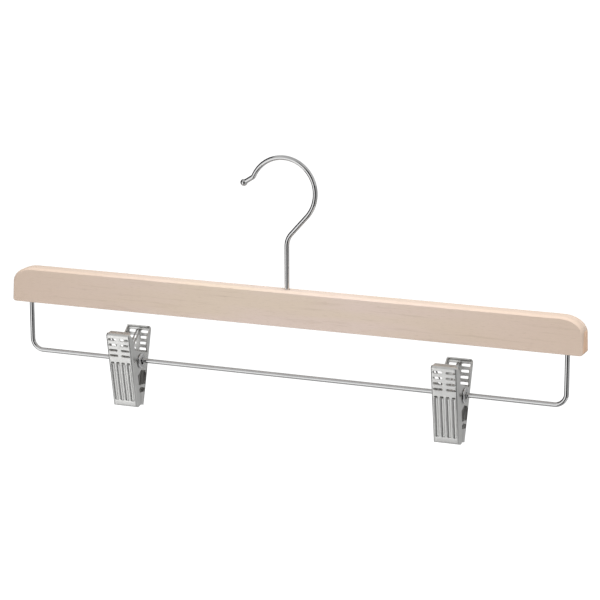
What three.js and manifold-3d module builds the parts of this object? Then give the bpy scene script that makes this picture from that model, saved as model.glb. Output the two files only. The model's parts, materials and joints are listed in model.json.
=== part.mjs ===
// Skirt hanger: a wooden bar with a swivel hook, a bent wire under it and two sprung clips on that wire.
// Millimetres, +Z up, +X to the right along the bar, -Y to the front. The origin is the point inside the
// hook's crown, on the swivel axis, where a rail carries the hanger.

import * as THREE from 'three';
import { mergeVertices } from 'three/addons/utils/BufferGeometryUtils.js';
import Module from 'manifold-3d';

const wasm = await Module();
wasm.setup();

// Clearances
const SEAT_GAP = 0.3; // between pieces that touch on the real hanger
const BORE_GAP = 0.25; // round a wire in its hole in the wood

// Wooden bar
const BAR_LENGTH = 360;
const BAR_HEIGHT = 21.5;
const BAR_THICKNESS = 10.4;
const BAR_CORNER_LENGTH = 14; // rounding of the upper ends along the bar, seen from the front
const BAR_CORNER_HEIGHT = 9.6;
const BAR_BOTTOM_CORNER = 2.2;
const BAR_EDGE_ROUND = 2.1; // rounding of the long edges

// Swivel hook
const HOOK_WIRE = 2.8;
const HOOK_RADIUS = 20.1; // centreline of the round part
const HOOK_OFFSET = -2.3; // centre of the round part, from the swivel axis
const HOOK_CENTRE_RISE = 57.5; // centre of the round part, above the bar
const HOOK_SLOPE_DEG = 48; // slope of the straight neck
const HOOK_KNEE_RADIUS = 7;
const HOOK_TAIL_START_DEG = 155; // where the round part ends, from +X
const HOOK_TAIL_KINK_DEG = 33;
const HOOK_TAIL_KINK_RADIUS = 3;
const HOOK_TAIL_LENGTH = 6.2;
const HOOK_BALL = 4.2;
const HOOK_SHANK_DEPTH = 16; // shank inside the bar
const HOOK_BORE_RELIEF = 1; // empty depth below the shank
const THREAD_PITCH = 1.5;
const THREAD_DEPTH = 0.3;

// Trouser wire
const WIRE = 2.8;
const WIRE_INSET = 10.4; // centreline of a leg, from the bar's end
const WIRE_DROP = 30.7; // lower run's centreline, below the bar
const WIRE_BEND_RADIUS = 7;
const WIRE_LEG_DEPTH = 13; // leg inside the bar
const WIRE_BORE_RELIEF = 1;

// Clips: places on the wire, from its nearer leg, and how far each hangs off the vertical
const LEFT_CLIP_PLACE = 65.7;
const LEFT_CLIP_LEAN_DEG = -2.2;
const RIGHT_CLIP_PLACE = 68.1;
const RIGHT_CLIP_LEAN_DEG = -4.3;

// Eyelet: the hollow rivet that joins a clip's ears
const EYELET_BORE = 4.2;
const EYELET_WALL = 0.5;
const EYELET_HEAD = 9.2; // diameter of the rolled heads
const EYELET_HEAD_HEIGHT = 1.1;
const EYELET_RIM = 0.35; // rounding of a rolled head

// Jaws: heights and half spreads are taken from the eyelet's axis to the plates' outer faces
const SHEET = 0.8;
const JAW_WIDTH = 16.2;
const JAW_BEND = 1.4; // outer radius of the bends along the plate
const HANDLE_RISE = 18.4;
const HANDLE_SPREAD = 15.4;
const LIP_DROP = 28.3;
const LIP_SPREAD = 4.6;
const HANDLE_LIP = 4.5; // depth of the turned-in upper edge
const LIP_BLOCK = 7.5; // height over which the two jaws meet at the bottom
const FRONT_FLANGE_STRIP = 4.9; // depth of the narrow flange below the ears
const REAR_FLANGE_STRIP = 1.4;
const TOOTH_HEIGHT = 1.2;
const TOOTH_ABOVE_LIP = 10.8; // tooth's lower side, above the plate's end
const EAR_RIM = 2.3; // metal round the pivot hole
const EAR_FOOT = 7.3; // height of the ear's lower corner, below the axis
const SHOULDER_DEPTH = 6.4; // handle flange just above the ear
const SHOULDER_RISE = 9;
const HANDLE_FLANGE_DEPTH = 5;
const HANDLE_FLANGE_DROP = 6; // below the plate's upper edge
const FLANGE_TOP_DROP = 1.6;
const JOGGLE_DEPTH = 4.3; // where the rear jaw's ears step inwards
const JOGGLE_LENGTH = 1.2;
const JOGGLE_HALF_HEIGHT = 5.6;
const EAR_SLIT_LENGTH = 5;
const EAR_SLIT_WIDTH = 0.8;
const EAR_SLIT_DEPTH = 4.8; // slit's middle, from the plate's face
const EAR_SLIT_RISE = 2.6;

// Slots and pressed grooves of the plates
const SLOT_ROWS = 4;
const SLOT_HEIGHT = 1.5;
const SLOT_PITCH = 3.5;
const SLOT_TOP_MARGIN = 3.7; // upper row's middle, below the plate's end
const SLOT_SIDE_MARGIN = 1.4;
const SLOT_STRIP = 2.2; // metal between the two columns
const GROOVES = 4;
const GROOVE_PITCH = 3.55;
const GROOVE_WIDTH = 2.5;
const GROOVE_DEPTH = 0.6;
const GROOVE_TOP = 1.7; // above the axis
const GROOVE_BOTTOM_MARGIN = 3.6;
const PIERCING_LENGTH = 2.2;
const PIERCING_HEIGHT = 1.3;

// Spring: two coils round the eyelet with a loop between them, from one wire
const SPRING_WIRE = 0.9;
const SPRING_COIL_GAP = 0.5; // round the eyelet
const SPRING_TURNS = 3;
const SPRING_LOOP_WIDTH = 2; // between the centrelines of the middle loop
const SPRING_ARM_RISE = 18; // where the arms meet the plates, above the axis
const SPRING_ARM_STANDOFF = 1.6; // arm's centreline, from the plate's inner face
const SPRING_TIP = 0.9;

// Fineness of round shapes
const WIRE_SIDES = 10;
const BEND_STEP_DEG = 9;
const ROUND_SEGMENTS = 20;
const ARC_SEGMENTS = 4; // half of the steps in an outline's arc
const SLOT_SEGMENTS = 2;
const EDGE_SEGMENTS = 4; // across the rounding of the bar's edges
const BALL_SEGMENTS = 16;
const BALL_RINGS = 10;
const CURL_STEPS = 8;
const CURL_SIDES = 5;
const MERGE_DISTANCE = 1e-4;
const NEIGHBOUR_DIAMETERS = 4; // stretch of spring wire that counts as one run

const rad = THREE.MathUtils.degToRad;

// Solids and geometry

function toSolid(geometry) {
  const bare = geometry.clone();
  bare.deleteAttribute('normal');
  bare.deleteAttribute('uv');
  const merged = mergeVertices(bare, MERGE_DISTANCE);
  const vertProperties = new Float32Array(merged.attributes.position.array);
  const triVerts = new Uint32Array(merged.index.array);
  return new wasm.Manifold(new wasm.Mesh({ numProp: 3, vertProperties, triVerts }));
}

function toGeometry(solid) {
  const { vertProperties, triVerts } = solid.getMesh();
  const geometry = new THREE.BufferGeometry();
  geometry.setAttribute('position', new THREE.BufferAttribute(new Float32Array(vertProperties), 3));
  geometry.setIndex(new THREE.BufferAttribute(new Uint32Array(triVerts), 1));
  geometry.computeVertexNormals();
  return geometry;
}

// A flat outline in XY, given thickness along Z
function slab(shape, depth, curveSegments = ARC_SEGMENTS) {
  return new THREE.ExtrudeGeometry(shape, { depth, bevelEnabled: false, curveSegments });
}

// A side view, outline in YZ, given thickness along X from xLow
function sideSlab(shape, xLow, depth, curveSegments = ARC_SEGMENTS) {
  const turn = new THREE.Matrix4().makeBasis(
    new THREE.Vector3(0, 1, 0),
    new THREE.Vector3(0, 0, 1),
    new THREE.Vector3(1, 0, 0),
  );
  return slab(shape, depth, curveSegments).applyMatrix4(turn).translate(xLow, 0, 0);
}

// A cutter through the plate for a hole drawn in XZ
function plateCutter(shape) {
  return slab(shape, 3 * SHEET, SLOT_SEGMENTS).rotateX(Math.PI / 2).translate(0, faceY + 2 * SHEET, 0);
}

function rod(radius, length, axis) {
  const cylinder = new THREE.CylinderGeometry(radius, radius, length, ROUND_SEGMENTS);
  if (axis === 'x') cylinder.rotateZ(Math.PI / 2);
  if (axis === 'z') cylinder.rotateX(Math.PI / 2);
  return cylinder;
}

// A long hole's outline with round ends, along X
function slotShape(x, y, length, height) {
  const r = height / 2;
  const reach = length / 2 - r;
  const shape = new THREE.Shape();
  shape.moveTo(x - reach, y - r);
  shape.absarc(x + reach, y, r, -Math.PI / 2, Math.PI / 2);
  shape.absarc(x - reach, y, r, Math.PI / 2, 1.5 * Math.PI);
  return shape;
}

// A run of wire through given stations, each section square to the mean of its two neighbouring runs
class StationCurve extends THREE.Curve {
  constructor(stations) {
    super();
    this.stations = stations;
  }

  getPoint(t, target = new THREE.Vector3()) {
    const place = t * (this.stations.length - 1);
    const i = Math.min(Math.floor(place), this.stations.length - 2);
    return target.lerpVectors(this.stations[i], this.stations[i + 1], place - i);
  }

  getSpacedPoints() {
    return this.stations;
  }

  getTangentAt(u, target = new THREE.Vector3()) {
    const last = this.stations.length - 1;
    const i = Math.round(u * last);
    const run = (k) => new THREE.Vector3().subVectors(this.stations[k + 1], this.stations[k]).normalize();
    return target.addVectors(run(Math.max(i - 1, 0)), run(Math.min(i, last - 1))).normalize();
  }
}

function wireAlong(stations, diameter, sides) {
  const section = new THREE.Shape();
  for (let i = 0; i < sides; i += 1) {
    const angle = (2 * Math.PI * i) / sides;
    const x = (diameter / 2) * Math.cos(angle);
    const y = (diameter / 2) * Math.sin(angle);
    if (i === 0) section.moveTo(x, y);
    else section.lineTo(x, y);
  }
  const extrudePath = new StationCurve(stations);
  return new THREE.ExtrudeGeometry(section, { steps: stations.length - 1, extrudePath });
}

// Stations of a wire bent in the XZ plane: straight runs, and turns to the left (positive) or right
function bendWire(start, headingDeg, moves) {
  const stations = [start.clone()];
  const at = start.clone();
  let heading = headingDeg;
  const forward = (length) => {
    at.x += length * Math.cos(rad(heading));
    at.z += length * Math.sin(rad(heading));
    stations.push(at.clone());
  };
  for (const { run, turnDeg, radius } of moves) {
    if (run !== undefined) {
      forward(run);
      continue;
    }
    const steps = Math.ceil(Math.abs(turnDeg) / BEND_STEP_DEG);
    const half = turnDeg / steps / 2;
    const chord = 2 * radius * Math.sin(rad(Math.abs(half)));
    for (let i = 0; i < steps; i += 1) {
      heading += half;
      forward(chord);
      heading += half;
    }
  }
  return stations;
}

// Wooden bar: z = 0 is its underside

const legX = BAR_LENGTH / 2 - WIRE_INSET;

function barGeometry() {
  const half = BAR_LENGTH / 2;
  const long = BAR_CORNER_LENGTH;
  const high = BAR_CORNER_HEIGHT;
  const low = BAR_BOTTOM_CORNER;
  const outline = new THREE.Shape();
  outline.moveTo(-half + low, 0);
  outline.absarc(half - low, low, low, -Math.PI / 2, 0);
  outline.absellipse(half - long, BAR_HEIGHT - high, long, high, 0, Math.PI / 2);
  outline.absellipse(-half + long, BAR_HEIGHT - high, long, high, Math.PI / 2, Math.PI);
  outline.absarc(-half + low, low, low, Math.PI, 1.5 * Math.PI);
  const wood = new THREE.ExtrudeGeometry(outline, {
    depth: BAR_THICKNESS - 2 * BAR_EDGE_ROUND,
    curveSegments: ARC_SEGMENTS,
    bevelSize: BAR_EDGE_ROUND,
    bevelThickness: BAR_EDGE_ROUND,
    bevelOffset: -BAR_EDGE_ROUND,
    bevelSegments: EDGE_SEGMENTS,
  });
  wood.rotateX(Math.PI / 2).translate(0, BAR_THICKNESS / 2 - BAR_EDGE_ROUND, 0);

  const shankDepth = HOOK_SHANK_DEPTH + HOOK_BORE_RELIEF;
  const legDepth = WIRE_LEG_DEPTH + WIRE_BORE_RELIEF;
  const shankBore = rod(HOOK_WIRE / 2 + BORE_GAP, 2 * shankDepth, 'z').translate(0, 0, BAR_HEIGHT);
  let bar = toSolid(wood).subtract(toSolid(shankBore));
  for (const x of [-legX, legX]) {
    const legBore = rod(WIRE / 2 + BORE_GAP, 2 * legDepth, 'z').translate(x, 0, 0);
    bar = bar.subtract(toSolid(legBore));
  }
  return toGeometry(bar);
}

// Swivel hook: a straight neck that runs into the round part, and a kinked tail with a ball

const hookCentreZ = BAR_HEIGHT + HOOK_CENTRE_RISE;
const hookInnerRadius = HOOK_RADIUS - HOOK_WIRE / 2;
const railSeatZ = hookCentreZ + Math.sqrt(hookInnerRadius ** 2 - HOOK_OFFSET ** 2);

function hookGeometry() {
  const slope = rad(HOOK_SLOPE_DEG);
  const kneeTurn = 90 - HOOK_SLOPE_DEG;
  const kneeReach = HOOK_KNEE_RADIUS * Math.tan(rad(kneeTurn) / 2);
  const neckEndX = HOOK_OFFSET + HOOK_RADIUS * Math.sin(slope);
  const neckEndZ = hookCentreZ - HOOK_RADIUS * Math.cos(slope);
  const neck = neckEndX / Math.cos(slope);
  const kneeZ = neckEndZ - neck * Math.sin(slope);
  const shankEndZ = BAR_HEIGHT - HOOK_SHANK_DEPTH;
  const stations = bendWire(new THREE.Vector3(0, 0, BAR_HEIGHT), 90, [
    { run: kneeZ - kneeReach - BAR_HEIGHT },
    { turnDeg: -kneeTurn, radius: HOOK_KNEE_RADIUS },
    { run: neck - kneeReach },
    { turnDeg: HOOK_TAIL_START_DEG + 90 - HOOK_SLOPE_DEG, radius: HOOK_RADIUS },
    { turnDeg: -HOOK_TAIL_KINK_DEG, radius: HOOK_TAIL_KINK_RADIUS },
    { run: HOOK_TAIL_LENGTH },
  ]);
  const tip = stations[stations.length - 1];
  const ball = new THREE.SphereGeometry(HOOK_BALL / 2, BALL_SEGMENTS, BALL_RINGS);
  ball.translate(tip.x, tip.y, tip.z);

  const crest = HOOK_WIRE / 2;
  const root = crest - THREAD_DEPTH;
  const profile = [new THREE.Vector2(0, shankEndZ), new THREE.Vector2(root, shankEndZ)];
  const threads = Math.floor((HOOK_SHANK_DEPTH - HOOK_WIRE) / THREAD_PITCH);
  for (let i = 0; i < threads; i += 1) {
    profile.push(new THREE.Vector2(crest, shankEndZ + (i + 0.5) * THREAD_PITCH));
    profile.push(new THREE.Vector2(root, shankEndZ + (i + 1) * THREAD_PITCH));
  }
  profile.push(new THREE.Vector2(crest, shankEndZ + threads * THREAD_PITCH + THREAD_DEPTH));
  profile.push(new THREE.Vector2(crest, BAR_HEIGHT + THREAD_PITCH));
  profile.push(new THREE.Vector2(0, BAR_HEIGHT + THREAD_PITCH));
  const shank = new THREE.LatheGeometry(profile, WIRE_SIDES).rotateX(Math.PI / 2);

  const wire = toSolid(wireAlong(stations, HOOK_WIRE, WIRE_SIDES));
  return toGeometry(wire.add(toSolid(ball)).add(toSolid(shank)));
}

// Trouser wire: down one leg, along the lower run and up the other leg

function trouserWireGeometry() {
  const leg = WIRE_LEG_DEPTH + WIRE_DROP - WIRE_BEND_RADIUS;
  const stations = bendWire(new THREE.Vector3(-legX, 0, WIRE_LEG_DEPTH), -90, [
    { run: leg },
    { turnDeg: 90, radius: WIRE_BEND_RADIUS },
    { run: 2 * (legX - WIRE_BEND_RADIUS) },
    { turnDeg: 90, radius: WIRE_BEND_RADIUS },
    { run: leg },
  ]);
  return wireAlong(stations, WIRE, WIRE_SIDES);
}

// Clip: the eyelet's axis is the X axis. A jaw is drawn upright, its plate square to Y, and then tilted

const eyeletRadius = EYELET_BORE / 2 + EYELET_WALL;
const pivotHoleRadius = eyeletRadius + SEAT_GAP;
const earRadius = pivotHoleRadius + EAR_RIM;
const tilt = Math.atan2(HANDLE_SPREAD - LIP_SPREAD, HANDLE_RISE + LIP_DROP);
const faceAtAxis = LIP_SPREAD + LIP_DROP * Math.tan(tilt);
const faceY = -faceAtAxis * Math.cos(tilt);
const plateTop = HANDLE_RISE / Math.cos(tilt) + faceAtAxis * Math.sin(tilt);
const plateBottom = -LIP_DROP / Math.cos(tilt) + faceAtAxis * Math.sin(tilt);
const halfWidth = JAW_WIDTH / 2;
const outerEarX = halfWidth - SHEET; // inner face of the front jaw's ears
const innerEarX = outerEarX - SEAT_GAP - SHEET; // inner face of the rear jaw's ears

// The plane in which the two jaws meet, less half of the gap, at height z of an upright jaw
const meetingY = (z) => z * Math.tan(tilt) - SEAT_GAP / 2 / Math.cos(tilt);

// Where a line from a point outside touches the ear's circle, to the left or right of the line
function earTangent(x, y, side) {
  const angle = Math.atan2(y, x) + side * Math.acos(earRadius / Math.hypot(x, y));
  return { angle, x: earRadius * Math.cos(angle), y: earRadius * Math.sin(angle) };
}

// Side view of a jaw: plate, lip, tooth and flanges, with the ear on the front jaw only
function jawSide(hasEar) {
  const strip = faceY + (hasEar ? FRONT_FLANGE_STRIP : REAR_FLANGE_STRIP);
  const lipTop = plateBottom + LIP_BLOCK;
  const toothLow = plateBottom + TOOTH_ABOVE_LIP;
  const toothHigh = toothLow + TOOTH_HEIGHT;
  const shoulder = faceY + SHOULDER_DEPTH;
  const side = new THREE.Shape();
  side.moveTo(faceY, plateBottom);
  side.lineTo(meetingY(plateBottom), plateBottom);
  side.lineTo(meetingY(lipTop), lipTop);
  side.lineTo(strip, lipTop + SHEET);
  side.lineTo(strip, toothLow - SHEET / 2);
  side.lineTo(meetingY(toothLow), toothLow);
  side.lineTo(meetingY(toothHigh), toothHigh);
  side.lineTo(strip, toothHigh + SHEET);
  side.lineTo(strip, -EAR_FOOT);
  if (hasEar) {
    const low = earTangent(strip, -EAR_FOOT, 1);
    const high = earTangent(shoulder, SHOULDER_RISE, -1);
    side.lineTo(low.x, low.y);
    side.absarc(0, 0, earRadius, low.angle, high.angle);
    side.lineTo(shoulder, SHOULDER_RISE);
  } else {
    const joggle = faceY + JOGGLE_DEPTH;
    side.lineTo(joggle, -JOGGLE_HALF_HEIGHT - SHEET);
    side.lineTo(joggle, JOGGLE_HALF_HEIGHT);
    side.lineTo(faceY + HANDLE_FLANGE_DEPTH, SHOULDER_RISE);
  }
  side.lineTo(faceY + HANDLE_FLANGE_DEPTH, plateTop - HANDLE_FLANGE_DROP);
  side.lineTo(faceY + JAW_BEND, plateTop - FLANGE_TOP_DROP);
  side.lineTo(faceY + JAW_BEND, plateTop);
  side.lineTo(faceY, plateTop);
  return side;
}

// Bent sheet seen from above: the plate with a flange at each side
function channelShape(depth) {
  const inner = JAW_BEND - SHEET;
  const low = faceY + JAW_BEND;
  const far = faceY + depth;
  const bend = halfWidth - JAW_BEND;
  const shape = new THREE.Shape();
  shape.moveTo(-halfWidth, far);
  shape.absarc(-bend, low, JAW_BEND, Math.PI, 1.5 * Math.PI);
  shape.absarc(bend, low, JAW_BEND, -Math.PI / 2, 0);
  shape.lineTo(halfWidth, far);
  shape.lineTo(halfWidth - SHEET, far);
  shape.absarc(bend, low, inner, 0, -Math.PI / 2, true);
  shape.absarc(-bend, low, inner, -Math.PI / 2, -Math.PI, true);
  shape.lineTo(-halfWidth + SHEET, far);
  return shape;
}

// Turned-in edges of the plate: the handle's upper edge and the gripping lip
function edgeSide(z, towards, depth) {
  const shape = new THREE.Shape();
  shape.moveTo(faceY + SHEET / 2, z);
  shape.lineTo(faceY + depth, z);
  shape.lineTo(faceY + depth, z + towards * SHEET);
  shape.lineTo(faceY + SHEET / 2, z + towards * SHEET);
  return shape;
}

function slotCutters() {
  const length = halfWidth - SLOT_SIDE_MARGIN - SLOT_STRIP / 2;
  const cutters = [];
  for (let row = 0; row < SLOT_ROWS; row += 1) {
    const z = plateTop - SLOT_TOP_MARGIN - row * SLOT_PITCH;
    for (const side of [-1, 1]) {
      const x = (side * (SLOT_STRIP + length)) / 2;
      cutters.push(plateCutter(slotShape(x, z, length, SLOT_HEIGHT)));
    }
  }
  return cutters;
}

// A groove is a cylinder sunk into the plate's face, with the sheet carried round behind it
function pressGrooves(jaw) {
  const radius = (GROOVE_WIDTH ** 2 / 4 + GROOVE_DEPTH ** 2) / (2 * GROOVE_DEPTH);
  const axisY = faceY + GROOVE_DEPTH - radius;
  const low = plateBottom + GROOVE_BOTTOM_MARGIN;
  const length = GROOVE_TOP - low;
  const behind = new THREE.BoxGeometry(JAW_WIDTH, radius + SHEET, length);
  behind.translate(0, faceY + SHEET / 2 + (radius + SHEET) / 2, low + length / 2);
  let pressed = jaw;
  for (let i = 0; i < GROOVES; i += 1) {
    const x = (i - (GROOVES - 1) / 2) * GROOVE_PITCH;
    const place = (geometry) => geometry.translate(x, axisY, low + length / 2);
    const back = toSolid(place(rod(radius + SHEET, length, 'z'))).intersect(toSolid(behind));
    const piercing = slotShape(x, GROOVE_TOP + PIERCING_HEIGHT / 2, PIERCING_LENGTH, PIERCING_HEIGHT);
    pressed = pressed.add(back).subtract(toSolid(place(rod(radius, length, 'z'))));
    pressed = pressed.subtract(toSolid(plateCutter(piercing)));
  }
  return pressed;
}

function innerEarSide() {
  const root = faceY + JOGGLE_DEPTH - JOGGLE_LENGTH;
  const side = new THREE.Shape();
  side.moveTo(root, -JOGGLE_HALF_HEIGHT);
  side.lineTo(0, -earRadius);
  side.absarc(0, 0, earRadius, -Math.PI / 2, Math.PI / 2);
  side.lineTo(root, JOGGLE_HALF_HEIGHT);
  return side;
}

function addInnerEars(jaw) {
  const height = 2 * JOGGLE_HALF_HEIGHT;
  const stepY = faceY + JOGGLE_DEPTH - JOGGLE_LENGTH / 2;
  const stepX = (innerEarX + halfWidth) / 2;
  let eared = jaw;
  for (const side of [-1, 1]) {
    const xLow = side > 0 ? innerEarX : -innerEarX - SHEET;
    const step = new THREE.BoxGeometry(halfWidth - innerEarX, JOGGLE_LENGTH, height);
    step.translate(side * stepX, stepY, 0);
    eared = eared.add(toSolid(sideSlab(innerEarSide(), xLow, SHEET))).add(toSolid(step));
  }
  return eared;
}

function jawGeometry(isFront) {
  const channelDepth = earRadius - faceY + SHEET;
  const channel = slab(channelShape(channelDepth), plateTop - plateBottom).translate(0, 0, plateBottom);
  const envelope = sideSlab(jawSide(isFront), -halfWidth, JAW_WIDTH);
  let jaw = toSolid(channel).intersect(toSolid(envelope));
  const inside = JAW_WIDTH - 2 * JAW_BEND;
  const lipDepth = meetingY(plateBottom) - faceY;
  const lipWidth = JAW_WIDTH - SHEET;
  jaw = jaw.add(toSolid(sideSlab(edgeSide(plateTop, -1, HANDLE_LIP), -inside / 2, inside)));
  jaw = jaw.add(toSolid(sideSlab(edgeSide(plateBottom, 1, lipDepth), -lipWidth / 2, lipWidth)));
  for (const cutter of slotCutters()) jaw = jaw.subtract(toSolid(cutter));
  jaw = pressGrooves(jaw);
  if (isFront) {
    const slit = slotShape(faceY + EAR_SLIT_DEPTH, EAR_SLIT_RISE, EAR_SLIT_LENGTH, EAR_SLIT_WIDTH);
    jaw = jaw.subtract(toSolid(sideSlab(slit, -JAW_WIDTH, 2 * JAW_WIDTH, SLOT_SEGMENTS)));
  } else {
    jaw = addInnerEars(jaw);
  }
  return toGeometry(jaw.subtract(toSolid(rod(pivotHoleRadius, 2 * JAW_WIDTH, 'x'))));
}

function eyeletGeometry() {
  const bore = EYELET_BORE / 2;
  const head = EYELET_HEAD / 2;
  const headLow = halfWidth + SEAT_GAP;
  const headTop = headLow + EYELET_HEAD_HEIGHT;
  const half = [
    [eyeletRadius, headLow],
    [head, headLow],
    [head, headLow + EYELET_RIM],
    [head - EYELET_RIM, headTop - EYELET_RIM],
    [eyeletRadius, headTop],
    [bore + EYELET_RIM / 2, headTop],
    [bore, headTop - EYELET_RIM],
  ];
  const otherHalf = half.map(([r, x]) => [r, -x]).reverse();
  const ring = [...half, ...otherHalf, half[0]].map(([r, x]) => new THREE.Vector2(r, x));
  return new THREE.LatheGeometry(ring, ROUND_SEGMENTS).rotateZ(-Math.PI / 2);
}

// Stations of one half of the spring: from the front arm's tip, round the coil, to the middle loop's top
function springHalf() {
  const coil = eyeletRadius + SPRING_COIL_GAP + SPRING_WIRE / 2;
  const coilEnd = innerEarX - SEAT_GAP - SPRING_WIRE / 2;
  const loopX = SPRING_LOOP_WIDTH / 2;
  const armZ = (standoff) => SPRING_ARM_RISE * Math.cos(tilt) + (faceY + SHEET + standoff) * Math.sin(tilt);
  const armY = (standoff) => (faceY + SHEET + standoff) * Math.cos(tilt) - SPRING_ARM_RISE * Math.sin(tilt);
  const armEnd = { y: armY(SPRING_ARM_STANDOFF), z: armZ(SPRING_ARM_STANDOFF) };
  const reach = Math.acos(coil / Math.hypot(armEnd.y, armEnd.z));
  const leave = reach - Math.atan2(-armEnd.y, armEnd.z); // from +Z towards +Y
  const tip = SEAT_GAP + SPRING_WIRE / 2;
  const stations = [
    new THREE.Vector3(coilEnd, armY(tip), armZ(tip)),
    new THREE.Vector3(coilEnd, armY(tip + SPRING_TIP), armZ(tip + SPRING_TIP)),
  ];
  const sweep = 2 * Math.PI * SPRING_TURNS - 2 * leave;
  const steps = Math.round((CURL_STEPS * sweep) / (2 * Math.PI));
  for (let i = 0; i <= steps; i += 1) {
    const angle = leave + (sweep * i) / steps;
    const x = coilEnd + ((loopX - coilEnd) * i) / steps;
    stations.push(new THREE.Vector3(x, coil * Math.sin(angle), coil * Math.cos(angle)));
  }
  stations.push(new THREE.Vector3(loopX, -armEnd.y, armEnd.z));
  return stations;
}

// Least distance between runs of the spring that aren't neighbours along its wire, less its diameter
function leastGap(stations, diameter) {
  const fine = [];
  for (let i = 0; i + 1 < stations.length; i += 1) {
    const steps = Math.ceil(stations[i].distanceTo(stations[i + 1]) / (diameter / 2));
    for (let k = 0; k < steps; k += 1) fine.push(stations[i].clone().lerp(stations[i + 1], k / steps));
  }
  let least = Infinity;
  let along = 0;
  for (let i = 0; i < fine.length; i += 1) {
    along = 0;
    for (let k = i + 1; k < fine.length; k += 1) {
      along += fine[k].distanceTo(fine[k - 1]);
      if (along < NEIGHBOUR_DIAMETERS * diameter) continue;
      least = Math.min(least, fine[i].distanceTo(fine[k]) - diameter);
    }
  }
  return least;
}

function springStations() {
  const right = springHalf();
  const left = right.map((p) => new THREE.Vector3(-p.x, p.y, p.z)).reverse();
  const top = right[right.length - 1];
  const rise = new THREE.Vector3(0, -top.y, -top.z).normalize().multiplyScalar(-SPRING_LOOP_WIDTH / 2);
  const bend = [1, 0, -1].map((side) => {
    const across = side * Math.SQRT1_2;
    const lift = side === 0 ? 1 : Math.SQRT1_2;
    return new THREE.Vector3(top.x * across, top.y, top.z).addScaledVector(rise, lift);
  });
  return [...right, ...bend, ...left];
}

const springPath = springStations();
console.log(`spring's least gap to itself: ${leastGap(springPath, SPRING_WIRE).toFixed(2)} mm`);

// Finishes

function finish(color, roughness, metalness) {
  return new THREE.MeshStandardMaterial({ color, roughness, metalness });
}

const paleWood = () => finish(0xd6c6b3, 0.55, 0);
const brightSteel = () => finish(0xcfcfcf, 0.16, 1);
const platedSteel = () => finish(0xb8b7b5, 0.34, 1);
const springSteel = () => finish(0xc4c4c2, 0.25, 1);

function piece(name, geometry, material) {
  const mesh = new THREE.Mesh(geometry, material);
  mesh.name = name;
  return mesh;
}

// The eyelet hangs on the wire, so its axis lies a little lower than the wire's
const hangDrop = (EYELET_BORE - WIRE) / 2 - SEAT_GAP;

function clip(name, x, leanDeg) {
  const group = new THREE.Group();
  const frontJaw = piece(`${name}_front_jaw`, jawGeometry(true), platedSteel());
  const rearJaw = piece(`${name}_rear_jaw`, jawGeometry(false), platedSteel());
  const rearTurn = new THREE.Group();
  frontJaw.rotation.x = tilt;
  rearJaw.rotation.x = tilt;
  rearTurn.rotation.z = Math.PI;
  rearTurn.add(rearJaw);
  group.add(frontJaw, rearTurn);
  group.add(piece(`${name}_eyelet`, eyeletGeometry(), brightSteel()));
  group.add(piece(`${name}_spring`, wireAlong(springPath, SPRING_WIRE, CURL_SIDES), springSteel()));
  group.position.set(x, 0, -WIRE_DROP - hangDrop);
  group.rotation.x = rad(leanDeg);
  return group;
}

const hanger = new THREE.Group();
hanger.add(piece('wooden_bar', barGeometry(), paleWood()));
hanger.add(piece('swivel_hook', hookGeometry(), brightSteel()));
hanger.add(piece('trouser_wire', trouserWireGeometry(), brightSteel()));
hanger.add(clip('left_clip', LEFT_CLIP_PLACE - legX, LEFT_CLIP_LEAN_DEG));
hanger.add(clip('right_clip', legX - RIGHT_CLIP_PLACE, RIGHT_CLIP_LEAN_DEG));
hanger.position.z = -railSeatZ;

export default hanger;
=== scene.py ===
"""Skirt hanger: a pale wooden bar, bright bent wires and sprung sheet steel clips, in a white studio."""

import json
import math
from types import SimpleNamespace

import bmesh
import bpy
from mathutils import Matrix, Vector


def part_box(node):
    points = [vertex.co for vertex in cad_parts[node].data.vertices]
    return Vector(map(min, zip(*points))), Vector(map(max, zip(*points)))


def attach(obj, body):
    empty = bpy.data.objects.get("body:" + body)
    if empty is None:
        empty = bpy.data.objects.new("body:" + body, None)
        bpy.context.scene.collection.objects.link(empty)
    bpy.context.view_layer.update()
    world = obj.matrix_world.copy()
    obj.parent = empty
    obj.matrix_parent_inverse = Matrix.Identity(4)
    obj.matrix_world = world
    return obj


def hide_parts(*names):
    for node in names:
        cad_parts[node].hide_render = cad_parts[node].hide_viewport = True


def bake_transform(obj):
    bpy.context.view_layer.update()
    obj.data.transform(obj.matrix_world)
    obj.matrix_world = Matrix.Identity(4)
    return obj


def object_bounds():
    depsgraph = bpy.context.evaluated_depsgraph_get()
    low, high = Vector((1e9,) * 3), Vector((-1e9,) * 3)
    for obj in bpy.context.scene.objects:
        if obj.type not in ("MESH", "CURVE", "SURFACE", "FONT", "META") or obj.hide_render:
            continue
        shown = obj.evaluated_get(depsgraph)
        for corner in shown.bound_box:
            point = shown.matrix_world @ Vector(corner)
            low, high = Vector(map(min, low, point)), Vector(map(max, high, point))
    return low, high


bl_info = {
    "name": "Skirt hanger",
    "version": (1, 0, 0),
    "blender": (4, 5, 0),
    "location": "3D View > Sidebar > Hanger",
    "description": "Makes the pieces of a skirt hanger and a plain studio for it",
    "category": "Add Mesh",
}

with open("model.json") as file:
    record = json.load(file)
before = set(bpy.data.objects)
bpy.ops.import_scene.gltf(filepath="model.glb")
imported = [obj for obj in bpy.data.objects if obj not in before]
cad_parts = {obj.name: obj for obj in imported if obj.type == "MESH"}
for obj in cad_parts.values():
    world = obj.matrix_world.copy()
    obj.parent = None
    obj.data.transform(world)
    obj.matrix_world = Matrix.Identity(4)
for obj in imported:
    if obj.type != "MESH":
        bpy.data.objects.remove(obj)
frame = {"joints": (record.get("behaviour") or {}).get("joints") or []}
CAD_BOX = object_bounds()

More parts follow.
